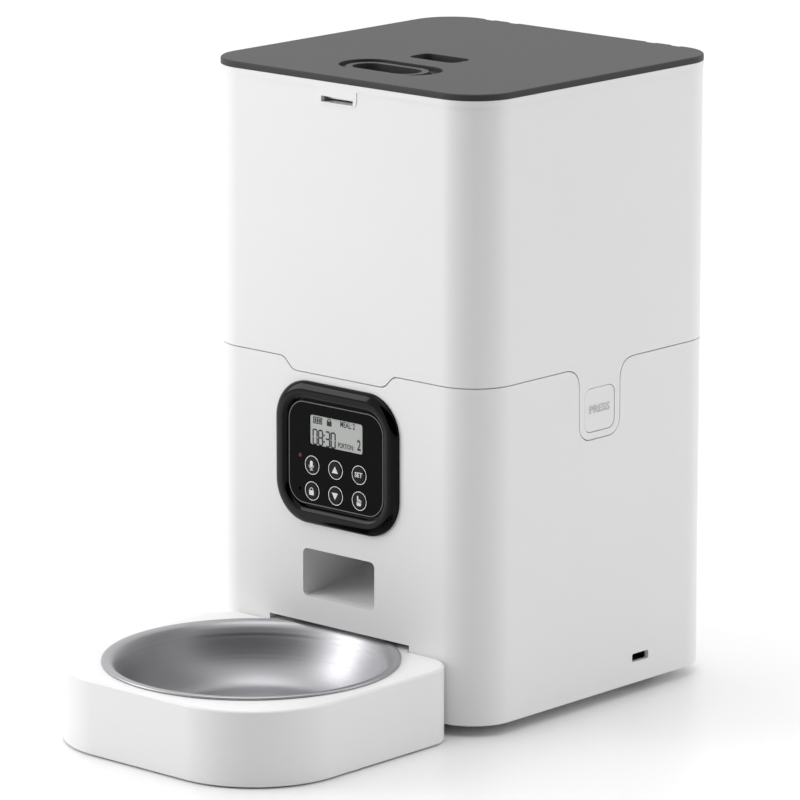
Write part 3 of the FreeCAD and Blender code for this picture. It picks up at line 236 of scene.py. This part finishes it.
# name: maker, colour, roughness, grain or line in mm, depth of the bump
PLASTICS = {
    # Injection-moulded ABS, satin polished: clean white with a soft sheen.
    "white_abs_satin": ("ECECEC", 0.34, 0.9, 0.06, 0.01, 0.0, 0.5),
    # Spark-eroded ABS: dark grey, dull and evenly grained.
    "dark_abs_textured": ("3C3C3E", 0.5, 0.5, 0.35, 0.04, 0.0, 0.2),
    # Polypropylene: milky and waxy.
    "polypropylene_natural": ("D9D9D4", 0.42, 1.2, 0.12, 0.03, 0.0, 0.4),
    # Mirror-polished ABS: deep black with clear reflections.
    "black_abs_polished": ("030304", 0.08, 2.5, 0.02, 0.05, 0.0, 0.14),
    # Printed acrylic sheet: black, glossy, a little less clear than the frame.
    "acrylic_black": ("040405", 0.2, 2.0, 0.02, 0.05, 0.0, 0.04),
    # Reflective display glass over pale grey crystal.
    "lcd_reflective": ("A9ACA9", 0.22, 0.6, 0.03, 0.03, 0.4, 0.5),
    # Ink of the display's characters.
    "lcd_ink": ("131514", 0.45, 0.4, 0.05, 0.05, 0.0, 0.3),
    # Satin key plastic.
    "key_black": ("0E0E0F", 0.3, 0.7, 0.1, 0.05, 0.0, 0.12),
    # Screen-printed white ink.
    "ink_white": ("E6E6E4", 0.5, 0.3, 0.05, 0.02, 0.0, 0.4),
    # Screen-printed dark grey line.
    "ink_dark_grey": ("6A6A6C", 0.4, 0.3, 0.05, 0.02, 0.0, 0.4),
    # Raised word, white like its pad; its pale grey is painted shade that stands in for the shading of its
    # relief.
    "pale_grey_painted_shade": ("C6C6C8", 0.4, 0.6, 0.05, 0.02, 0.0, 0.4),
    # Moulded acetal: ivory, slippery.
    "acetal_ivory": ("E4DFD0", 0.33, 0.8, 0.1, 0.03, 0.0, 0.5),
    # Vulcanised rubber: black and dusty.
    "rubber_black": ("1B1B1B", 0.78, 0.4, 0.5, 0.08, 0.0, 0.3),
    # Cured silicone: grey and slightly glossy.
    "silicone_grey": ("BFC2C2", 0.5, 0.8, 0.12, 0.03, 0.0, 0.4),
    # Soft thermoplastic elastomer.
    "elastomer_blue_grey": ("6C777C", 0.6, 0.7, 0.2, 0.04, 0.0, 0.35),
    # Solder mask on glass-epoxy laminate.
    "solder_mask_green": ("1F6B3A", 0.3, 0.35, 0.3, 0.12, 0.2, 0.5),
    # Moulded epoxy of small components.
    "epoxy_black": ("1A1A1B", 0.5, 0.3, 0.3, 0.05, 0.0, 0.4),
    # Red tinted lens.
    "lens_red": ("6E0A0E", 0.2, 0.5, 0.02, 0.03, 0.0, 0.2),
    # Foil sleeve of a dry cell.
    "foil_sleeve": ("565B62", 0.3, 1.5, 0.08, 0.08, 0.3, 0.5),
    # Non-woven sachet paper.
    "sachet_paper": ("DEDBD0", 0.9, 0.25, 0.8, 0.06, 0.0, 0.2),
}
METALS = {
    # Spun stainless steel with turning rings.
    "stainless_spun": ("ADADB0", 0.4, 0.55, 0.15, (BOWL_MIDDLE.x, BOWL_MIDDLE.y)),
    # Ground steel pins and shafts.
    "steel_ground": ("B4B4B6", 0.28, 0.15, 0.2, None),
    # Drawn spring wire.
    "steel_spring": ("9FA0A3", 0.35, 0.1, 0.2, None),
    # Zinc-plated screws.
    "zinc_plated": ("B9BBC0", 0.25, 0.2, 0.15, None),
    # Turned brass bushes.
    "brass_turned": ("C19A55", 0.3, 0.12, 0.2, None),
    # Thin bright ring round each key.
    "chrome_ring": ("C4C6CA", 0.14, 0.4, 0.05, None),
}
# slot of the CAD node: finish
NODE_FINISH = {
    "white_abs": "white_abs_satin", "dark_abs": "dark_abs_textured", "natural_pp": "polypropylene_natural",
    "panel_black": "black_abs_polished", "face_black": "acrylic_black", "lcd_glass": "lcd_reflective",
    "button_black": "key_black", "steel": "steel_ground", "spring_steel": "steel_spring",
    "shaft_steel": "steel_ground", "screw_steel": "zinc_plated", "gear_pom": "acetal_ivory",
    "brass": "brass_turned", "rubber_dark": "rubber_black", "silicone": "silicone_grey",
    "rotor_tpe": "elastomer_blue_grey", "board_green": "solder_mask_green", "component_black": "epoxy_black",
    "led_red": "lens_red", "cell_wrap": "foil_sleeve", "desiccant_paper": "sachet_paper",
}


def finish_of(name):
    """The material of that name, made the first time it is asked for."""
    if name in bpy.data.materials:
        return bpy.data.materials[name]
    if name in METALS:
        return metal(name, *METALS[name])
    return plastic(name, *PLASTICS[name])


class FeederSizes(bpy.types.PropertyGroup):
    """Sizes of the finishing work."""
    edge: bpy.props.FloatProperty(name="Edge softness", description="Rounding of the moulded edges",
                                  default=0.35 * MM, unit="LENGTH", precision=5)
    rim: bpy.props.FloatProperty(name="Bowl rim", description="Height of the rolled rim of the bowl",
                                 default=1.8 * MM, unit="LENGTH", precision=5)
    letter: bpy.props.FloatProperty(name="Press letters", description="Height of the raised letters",
                                    default=5.6 * MM, unit="LENGTH", precision=5)
    ink: bpy.props.FloatProperty(name="Ink thickness", description="Thickness of printed marks",
                                 default=0.06 * MM, unit="LENGTH", precision=5)
    ring: bpy.props.FloatProperty(name="Key ring", description="Thickness of the ring round a key",
                                  default=0.5 * MM, unit="LENGTH", precision=5)
    light: bpy.props.FloatProperty(name="Light", description="Strength of the studio light", default=1.0)


# ---------------------------------------------------------------- shells
# CAD node: body, slot
SHELLS = {
    "base_housing": ("base", "white_abs"),
    "hopper_shell": ("hopper", "white_abs"),
    "bowl_tray": ("tray", "white_abs"),
    "outlet_chute": ("base", "white_abs"),
    "press_latch_right": ("press_right", "white_abs"),
    "press_latch_left": ("press_left", "white_abs"),
    "lid_cover": ("lid", "dark_abs"),
    "latch_slider": ("lid_latch", "dark_abs"),
    "panel_face": ("base", "face_black"),
}


class FEEDER_OT_shells(bpy.types.Operator):
    """Makes the visible shells from the CAD pieces, with smooth walls and softened edges."""
    bl_idname = "feeder.shells"
    bl_label = "Shells"

    def execute(self, context):
        width = context.scene.feeder.edge
        for node, (body, slot) in SHELLS.items():
            source = frame["nodes"][node]
            piece = source.copy()
            piece.data = source.data.copy()
            context.collection.objects.link(piece)
            piece.parent = None
            grab(piece)
            bpy.ops.object.mode_set(mode="EDIT")
            bpy.ops.mesh.select_all(action="SELECT")
            bpy.ops.mesh.remove_doubles(threshold=0.004 * MM)
            bpy.ops.mesh.dissolve_limited(angle_limit=math.radians(0.6))
            bpy.ops.object.mode_set(mode="OBJECT")
            bevel = piece.modifiers.new("edge", "BEVEL")
            bevel.width = width
            bevel.segments = 2
            bevel.limit_method = "ANGLE"
            bevel.angle_limit = math.radians(40)
            bevel.use_clamp_overlap = True
            bpy.ops.object.modifier_apply(modifier="edge")
            hand_over(piece, node + "_shell", body, finish_of(NODE_FINISH[slot]), 35.0)
            even_out(piece)
            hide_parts(node)
        return {"FINISHED"}


class FEEDER_OT_bezel(bpy.types.Operator):
    """Makes the glossy rounded frame round the control panel."""
    bl_idname = "feeder.bezel"
    bl_label = "Panel bezel"

    def execute(self, context):
        width = BEZEL_HIGH.x - BEZEL_LOW.x
        height = BEZEL_HIGH.z - BEZEL_LOW.z
        proud = BODY_LOW.y - BEZEL_LOW.y
        face_w = FACE_HIGH.x - FACE_LOW.x
        band = (width - face_w) / 2
        sunk = FACE_LOW.y - BEZEL_LOW.y
        piece = rounded_plate(width, height, 21 * MM, 16)
        crest = proud - 0.5 * MM
        steps = [(0, 0.5 * MM)]
        turns = 8
        outer = band * 0.62
        for k in range(turns):
            a = math.pi / 2 * k / turns
            b = math.pi / 2 * (k + 1) / turns
            steps.append((outer * (math.cos(a) - math.cos(b)), crest * (math.sin(b) - math.sin(a))))
        inner = band - outer - 0.15 * MM
        for k in range(turns):
            a = math.pi / 2 * k / turns
            b = math.pi / 2 * (k + 1) / turns
            steps.append((inner * (math.sin(b) - math.sin(a)), -sunk * (math.cos(a) - math.cos(b))))
        steps.append((0, -2.4 * MM))
        raise_profile(steps)
        bpy.ops.object.mode_set(mode="OBJECT")
        middle = (BEZEL_LOW + BEZEL_HIGH) / 2
        stand_up(piece, middle.x, BODY_LOW.y, middle.z)
        hand_over(piece, "panel_bezel_frame", "base", finish_of("black_abs_polished"), 50.0)
        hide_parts("panel_bezel")
        line = rounded_plate(face_w - 1.2 * MM, FACE_HIGH.z - FACE_LOW.z - 1.2 * MM, 10.4 * MM, 12)
        raise_profile([(0, context.scene.feeder.ink), (0.45 * MM, 0)])
        bpy.ops.mesh.select_all(action="DESELECT")
        bpy.ops.mesh.select_face_by_sides(number=4, type="GREATER")
        bpy.ops.mesh.delete(type="FACE")
        bpy.ops.object.mode_set(mode="OBJECT")
        stand_up(line, middle.x, FACE_LOW.y, middle.z)
        hand_over(line, "panel_print_line", "base", finish_of("ink_dark_grey"))
        return {"FINISHED"}


def bar(width, height, corner, x, z, thick):
    """Flat mark with rounded ends, standing up, its back at y = 0."""
    piece = rounded_plate(width, height, corner, 4)
    raise_profile([(0, thick)])
    bpy.ops.object.mode_set(mode="OBJECT")
    return stand_up(piece, x, 0, z)


def hoop(radius, thick, x, z, keep):
    """Thin ring that faces the front; keep is all, top or low."""
    deselect()
    bpy.ops.mesh.primitive_torus_add(major_radius=radius, minor_radius=thick / 2, major_segments=32,
                                     minor_segments=6)
    piece = bpy.context.object
    stand_up(piece, x, 0, z)
    if keep != "all":
        grab(piece)
        bpy.ops.object.mode_set(mode="EDIT")
        bpy.ops.mesh.select_all(action="SELECT")
        bpy.ops.mesh.bisect(plane_co=(x, 0, z), plane_no=(0, 0, 1), clear_inner=keep == "top",
                            clear_outer=keep == "low", use_fill=True)
        bpy.ops.object.mode_set(mode="OBJECT")
    return piece


def arrow(size, up, x, z, thick):
    """Filled triangle that points up or down."""
    deselect()
    bpy.ops.mesh.primitive_circle_add(vertices=3, radius=size, fill_type="NGON")
    piece = bpy.context.object
    if not up:
        piece.rotation_euler = (0, 0, math.pi)
        settle(piece)
    grab(piece)
    bpy.ops.object.mode_set(mode="EDIT")
    bpy.ops.mesh.select_all(action="SELECT")
    raise_profile([(0, thick)])
    bpy.ops.object.mode_set(mode="OBJECT")
    return stand_up(piece, x, 0, z)


def letters(words, size, x, z, thick, squeeze=1.0):
    """Words as a thin solid that faces the front, centred on x, z."""
    deselect()
    bpy.ops.object.text_add()
    piece = bpy.context.object
    piece.data.body = words
    piece.data.size = size
    piece.data.extrude = thick / 2
    piece.data.offset = size * 0.02
    piece.data.resolution_u = 3
    piece.data.align_x = "CENTER"
    piece.data.align_y = "CENTER"
    bpy.ops.object.convert(target="MESH")
    piece = bpy.context.object
    piece.scale = (squeeze, 1, 1)
    settle(piece)
    grab(piece)
    bpy.ops.object.mode_set(mode="EDIT")
    bpy.ops.mesh.select_all(action="SELECT")
    bpy.ops.mesh.remove_doubles(threshold=0.001 * MM)
    bpy.ops.object.mode_set(mode="OBJECT")
    return stand_up(piece, x, 0, z)


SEGMENTS = {"0": "abcdef", "3": "abgcd", "8": "abcdefg"}


def digit(sign, x, z, wide, tall, thick):
    """One seven-segment sign as a list of bars."""
    places = {"a": (0, tall / 2, 0), "g": (0, 0, 0), "d": (0, -tall / 2, 0), "b": (wide / 2, tall / 4, 1),
              "c": (wide / 2, -tall / 4, 1), "f": (-wide / 2, tall / 4, 1), "e": (-wide / 2, -tall / 4, 1)}
    line = 0.8 * MM
    made = []
    for key in SEGMENTS[sign]:
        dx, dz, tall_one = places[key]
        long = tall / 2 - 0.3 * MM if tall_one else wide - 0.35 * MM
        size = (line, long) if tall_one else (long, line)
        made.append(bar(size[0], size[1], 0.12 * MM, x + dx, z + dz, thick))
    return made


def lay_on(piece, y):
    """Moves a mark forward so that its back lies at y."""
    grab(piece)
    piece.location = (0, y, 0)
    settle(piece)
    return piece


class FEEDER_OT_display(bpy.types.Operator):
    """Draws the characters of the display."""
    bl_idname = "feeder.display"
    bl_label = "Display"

    def execute(self, context):
        thick = context.scene.feeder.ink
        x = (LCD_LOW.x + LCD_HIGH.x) / 2
        z = (LCD_LOW.z + LCD_HIGH.z) / 2
        marks = []
        for sign, dx in zip("0830", (-14.6, -10.8, -6.0, -2.2)):
            marks += digit(sign, x + dx * MM, z - 3.5 * MM, 2.7 * MM, 7.6 * MM, thick)
        for dz in (-5.2, -1.8):
            marks.append(bar(0.9 * MM, 0.9 * MM, 0.1 * MM, x - 8.4 * MM, z + dz * MM, thick))
        for dz in (6.7, 3.7):
            marks.append(bar(6.0 * MM, 0.5 * MM, 0.1 * MM, x - 12.8 * MM, z + dz * MM, thick))
        for dx in (-15.6, -10.0):
            marks.append(bar(0.5 * MM, 3.4 * MM, 0.1 * MM, x + dx * MM, z + 5.2 * MM, thick))
        for dx in (-14.4, -12.8, -11.2):
            marks.append(bar(1.1 * MM, 2.0 * MM, 0.1 * MM, x + dx * MM, z + 5.2 * MM, thick))
        marks.append(bar(3.2 * MM, 2.5 * MM, 0.2 * MM, x - 4.9 * MM, z + 4.7 * MM, thick))
        marks.append(hoop(1.1 * MM, 0.45 * MM, x - 4.9 * MM, z + 6.0 * MM, "top"))
        marks.append(letters("MEAL: 2", 4.2 * MM, x + 7.6 * MM, z + 5.6 * MM, thick, 0.7))
        marks.append(letters("PORTION:", 3.6 * MM, x + 6.4 * MM, z - 5.4 * MM, thick, 0.66))
        marks.append(letters("2", 7.6 * MM, x + 15.4 * MM, z - 3.6 * MM, thick, 0.72))
        piece = lay_on(join(marks), LCD_LOW.y)
        hand_over(piece, "display_characters", "base", finish_of("lcd_ink"))
        return {"FINISHED"}


def key_icon(key, x, z, thick):
    """The printed mark of one key."""
    if key == "record":
        return [bar(1.9 * MM, 3.4 * MM, 0.9 * MM, x, z + 0.7 * MM, thick),
                hoop(1.6 * MM, 0.4 * MM, x, z + 0.1 * MM, "low"),
                bar(0.4 * MM, 1.1 * MM, 0.1 * MM, x, z - 1.9 * MM, thick),
                bar(2.0 * MM, 0.4 * MM, 0.1 * MM, x, z - 2.4 * MM, thick)]
    if key == "up":
        return [arrow(2.4 * MM, True, x, z - 0.4 * MM, thick)]
    if key == "down":
        return [arrow(2.4 * MM, False, x, z + 0.4 * MM, thick)]
    if key == "set":
        return [letters("SET", 3.5 * MM, x, z, thick, 0.95)]
    if key == "lock":
        return [bar(3.2 * MM, 2.5 * MM, 0.35 * MM, x, z - 0.8 * MM, thick),
                hoop(1.1 * MM, 0.45 * MM, x, z + 0.6 * MM, "top"),
                bar(0.45 * MM, 0.6 * MM, 0.1 * MM, x - 1.1 * MM, z + 0.5 * MM, thick),
                bar(0.45 * MM, 0.6 * MM, 0.1 * MM, x + 1.1 * MM, z + 0.5 * MM, thick)]
    return [bar(0.9 * MM, 3.6 * MM, 0.4 * MM, x - 0.5 * MM, z + 1.0 * MM, thick),
            bar(3.0 * MM, 2.4 * MM, 0.8 * MM, x + 0.3 * MM, z - 1.2 * MM, thick),
            bar(0.8 * MM, 1.8 * MM, 0.35 * MM, x + 0.6 * MM, z + 0.2 * MM, thick),
            bar(0.8 * MM, 1.6 * MM, 0.35 * MM, x + 1.5 * MM, z - 0.1 * MM, thick)]


class FEEDER_OT_keys(bpy.types.Operator):
    """Prints the marks on the six keys and fits the bright ring round each."""
    bl_idname = "feeder.keys"
    bl_label = "Keys"

    def execute(self, context):
        sizes = context.scene.feeder
        for key in ("record", "up", "set", "lock", "down", "feed"):
            low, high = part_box("button_" + key)
            x = (low.x + high.x) / 2
            z = (low.z + high.z) / 2
            marks = key_icon(key, x, z, sizes.ink)
            piece = lay_on(join(marks), low.y)
            hand_over(piece, "mark_" + key, "key_" + key, finish_of("ink_white"))
            ring = hoop(4.75 * MM, sizes.ring, x, z, "all")
            lay_on(ring, FACE_LOW.y)
            hand_over(ring, "ring_" + key, "base", finish_of("chrome_ring"), 60.0)
        return {"FINISHED"}


class FEEDER_OT_lettering(bpy.types.Operator):
    """Raises the word on each of the two side release pads."""
    bl_idname = "feeder.lettering"
    bl_label = "Pad lettering"

    def execute(self, context):
        size = context.scene.feeder.letter
        for side, body in ((1, "press_right"), (-1, "press_left")):
            low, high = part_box("press_latch_right" if side > 0 else "press_latch_left")
            pad_z = high.z - 12.5 * MM
            piece = letters("PRESS", size, 0, 0, 0.5 * MM, 1.12)
            deselect()
            piece.rotation_euler = (0, 0, math.radians(90 * side))
            reach = high.x if side > 0 else low.x
            piece.location = (reach, (low.y + high.y) / 2, pad_z)
            settle(piece)
            # The word is white like the pad it stands on; its pale grey finish is painted shade that stands
            # in for the shading of its relief.
            hand_over(piece, body + "_word", body, finish_of("pale_grey_painted_shade"))
        return {"FINISHED"}


class FEEDER_OT_bowl(bpy.types.Operator):
    """Spins the steel bowl with its rolled rim."""
    bl_idname = "feeder.bowl"
    bl_label = "Steel bowl"

    def execute(self, context):
        radius = (BOWL_HIGH.x - BOWL_LOW.x) / 2
        low = BOWL_LOW.z
        seat = BOWL_HIGH.z - context.scene.feeder.rim
        sheet = 0.8 * MM
        profile = [(0, low + sheet), (30 * MM, low + sheet), (48 * MM, low + sheet),
                   (53 * MM, low + 2.2 * MM), (57 * MM, low + 6.5 * MM),
                   (62.5 * MM, low + 14 * MM), (67.5 * MM, seat - 3 * MM),
                   (69.4 * MM, seat), (71 * MM, seat + 1.2 * MM), (radius - 1.6 * MM, seat + 1.75 * MM),
                   (radius - 0.5 * MM, seat + 1.4 * MM), (radius, seat + 0.7 * MM),
                   (radius - 0.4 * MM, seat),
                   (radius - 1.4 * MM, seat + 0.1 * MM), (71 * MM, seat + 0.2 * MM),
                   (69.6 * MM, seat - 1.6 * MM), (68.2 * MM, seat - 4 * MM), (63.2 * MM, low + 13.4 * MM),
                   (57.8 * MM, low + 5.8 * MM), (53.6 * MM, low + 1.4 * MM), (48 * MM, low), (0, low)]
        mesh = bpy.data.meshes.new("bowl")
        shape = bmesh.new()
        points = [shape.verts.new((r, 0, z)) for r, z in profile]
        for first, second in zip(points, points[1:]):
            shape.edges.new((first, second))
        shape.to_mesh(mesh)
        shape.free()
        piece = bpy.data.objects.new("bowl", mesh)
        context.collection.objects.link(piece)
        grab(piece)
        bpy.ops.object.mode_set(mode="EDIT")
        bpy.ops.mesh.select_all(action="SELECT")
        bpy.ops.mesh.spin(steps=96, angle=2 * math.pi, center=(0, 0, 0), axis=(0, 0, 1))
        bpy.ops.mesh.select_all(action="SELECT")
        bpy.ops.mesh.remove_doubles(threshold=0.02 * MM)
        bpy.ops.mesh.normals_make_consistent(inside=False)
        bpy.ops.object.mode_set(mode="OBJECT")
        smooth = piece.modifiers.new("round", "SUBSURF")
        smooth.levels = 1
        smooth.render_levels = 1
        bpy.ops.object.modifier_apply(modifier="round")
        piece.location = (BOWL_MIDDLE.x, BOWL_MIDDLE.y, 0)
        hand_over(piece, "bowl_spun", "bowl", finish_of("stainless_spun"), 60.0)
        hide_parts("steel_bowl")
        return {"FINISHED"}


class FEEDER_OT_finishes(bpy.types.Operator):
    """Gives every CAD piece that shows as it is the material of its slot."""
    bl_idname = "feeder.finishes"
    bl_label = "Finishes"

    def execute(self, context):
        slots = {row["node"]: row["material_slot"] for row in frame["record"]["subparts"]}
        for name, piece in frame["nodes"].items():
            piece.data.materials.clear()
            piece.data.materials.append(finish_of(NODE_FINISH[slots[name]]))
        return {"FINISHED"}


# ---------------------------------------------------------------- stage
VIEW_AZIMUTH = math.radians(42.156)
VIEW_ELEVATION = math.radians(12.832)
VIEW_DISTANCE = 9.0386
VIEW_SIDE = -0.0992
VIEW_RISE = -0.0609
LENS = 253.54
# Height of the feet that show under the shell.
UNDERSIDE = 5.0 * MM
# Black card on the camera's side, which the camera doesn't see: distance, width and height.
CARD_AWAY = 2.3
CARD_SIZE = (7.0, 4.5)
SKY = 1.09
# name: width and height, power, place
LIGHTS = {
    "key": ((0.9, 1.2), 14.5, (-1.5, -1.25, 0.8)),
    "side": ((0.7, 1.0), 3.4, (1.75, 1.0, 0.6)),
    "top": ((1.2, 1.2), 7.0, (0.0, -0.2, 1.9)),
}


def soft_light(name, size, power, place, aim):
    """Rectangular area light that looks at a point."""
    deselect()
    bpy.ops.object.light_add(type="AREA", location=place)
    lamp = bpy.context.object
    lamp.name = name
    lamp.data.shape = "RECTANGLE"
    lamp.data.size = size[0]
    lamp.data.size_y = size[1]
    lamp.data.energy = power
    lamp.rotation_euler = (Vector(aim) - Vector(place)).to_track_quat("-Z", "Y").to_euler()
    return lamp


class FEEDER_OT_stage(bpy.types.Operator):
    """Lays the pale floor and sets the card, the soft lights and the camera."""
    bl_idname = "feeder.stage"
    bl_label = "Stage"

    def execute(self, context):
        scene = context.scene
        height = TOP_Z - UNDERSIDE
        azimuth, elevation = VIEW_AZIMUTH, VIEW_ELEVATION
        back = Vector((math.sin(azimuth) * math.cos(elevation), -math.cos(azimuth) * math.cos(elevation),
                       math.sin(elevation)))
        right = Vector((math.cos(azimuth), math.sin(azimuth), 0))
        up = back.cross(right)
        middle = Vector((0, BODY_MIDDLE_Y, TOP_Z - height / 2))
        place = middle + height * (back * VIEW_DISTANCE + right * VIEW_SIDE + up * VIEW_RISE)
        deselect()
        bpy.ops.object.camera_add(location=place, rotation=(math.pi / 2 - elevation, 0, azimuth))
        camera = context.object
        camera.data.lens = LENS
        camera.data.sensor_width = 36.0
        camera.data.clip_end = 50.0
        scene.camera = camera
        deselect()
        bpy.ops.mesh.primitive_plane_add(size=30.0, location=(0, 0, 0))
        floor = context.object
        floor.name = "floor"
        floor.data.materials.append(plastic("studio_floor", "F6F6F6", 0.32, 40.0, 0.0, 0.0, 0.0, 0.5))
        deselect()
        level = Vector((back.x, back.y, 0))
        bpy.ops.mesh.primitive_plane_add(size=1.0, location=middle + CARD_AWAY * level)
        flag = context.object
        flag.name = "black_card"
        flag.scale = (*CARD_SIZE, 1.0)
        flag.rotation_euler = (math.pi / 2, 0, azimuth)
        flag.data.materials.append(plastic("card_black", "050505", 0.9, 5.0, 0.0, 0.0, 0.0, 0.0))
        flag.visible_camera = False
        strength = scene.feeder.light
        world = bpy.data.worlds.new("studio")
        scene.world = world
        world.use_nodes = True
        world.node_tree.nodes["Background"].inputs["Color"].default_value = (1.0, 1.0, 1.0, 1.0)
        world.node_tree.nodes["Background"].inputs["Strength"].default_value = SKY * strength
        aim = (0, BODY_MIDDLE_Y, height * 0.5)
        for name, (size, power, spot) in LIGHTS.items():
            soft_light(name, size, power * strength, spot, aim)
        scene.view_settings.view_transform = "Standard"
        scene.view_settings.look = "None"
        return {"FINISHED"}


STEPS = ("finishes", "shells", "bezel", "display", "keys", "lettering", "bowl", "stage")


class FEEDER_PT_builder(bpy.types.Panel):
    """Sizes and steps of the feeder in the sidebar."""
    bl_idname = "FEEDER_PT_builder"
    bl_label = "Pet feeder"
    bl_space_type = "VIEW_3D"
    bl_region_type = "UI"
    bl_category = "Feeder"

    def draw(self, context):
        for name in ("edge", "rim", "letter", "ink", "ring", "light"):
            self.layout.prop(context.scene.feeder, name)
        for step in STEPS:
            self.layout.operator("feeder." + step)


CLASSES = (FeederSizes, FEEDER_OT_finishes, FEEDER_OT_shells, FEEDER_OT_bezel, FEEDER_OT_display,
           FEEDER_OT_keys, FEEDER_OT_lettering, FEEDER_OT_bowl, FEEDER_OT_stage, FEEDER_PT_builder)


def register():
    """Registers the classes and the settings."""
    for each in CLASSES:
        bpy.utils.register_class(each)
    bpy.types.Scene.feeder = bpy.props.PointerProperty(type=FeederSizes)


def unregister():
    """Removes the settings and the classes."""
    del bpy.types.Scene.feeder
    for each in reversed(CLASSES):
        bpy.utils.unregister_class(each)


def main():
    """Builds the whole feeder."""
    register()
    for step in STEPS:
        getattr(bpy.ops.feeder, step)()


if __name__ == "__main__":
    main()
